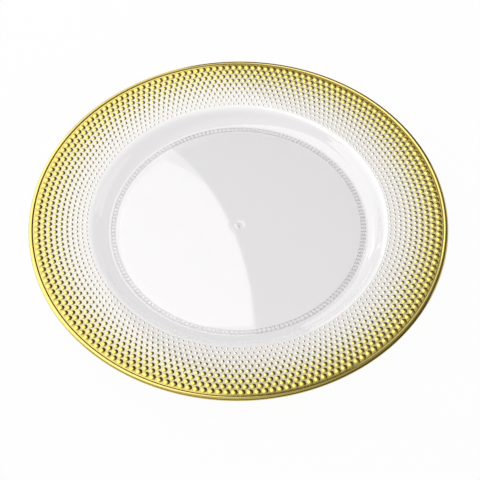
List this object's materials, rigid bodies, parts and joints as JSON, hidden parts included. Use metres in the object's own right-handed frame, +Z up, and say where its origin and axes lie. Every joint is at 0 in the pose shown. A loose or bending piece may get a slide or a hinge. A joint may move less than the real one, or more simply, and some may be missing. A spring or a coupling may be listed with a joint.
{
  "type": "decorative charger plate",
  "caption": "Round clear charger plate with a beaded well and a wide hobnail flange, gilt at the edge and fading to clear towards the well.",
  "frame": {"origin": "on the table surface, under the middle of the plate", "axes": "+Z up along the axis of the round plate; X and Y lie in the table plane"},
  "size_m": [0.33, 0.33, 0.0192],
  "materials": {
    "clear_plastic": "clear, polished",
    "full_gilt": "clear plastic with an opaque gold metal film, polished",
    "deep_gilt": "clear plastic with a gold metal film, polished",
    "half_gilt": "clear plastic with a half-dense gold metal film, polished",
    "pale_gilt": "clear plastic with a trace of gold metal film, polished"
  },
  "bodies": {
    "root": {"clear_plate": "clear_plastic", "well_bead_ring": "clear_plastic", "stud_ring_full_gilt": "full_gilt", "stud_ring_deep_gilt": "deep_gilt", "stud_ring_half_gilt": "half_gilt", "stud_ring_pale_gilt": "pale_gilt", "stud_ring_clear": "clear_plastic", "gilt_edge": "full_gilt"}
  },
  "joints": []
}
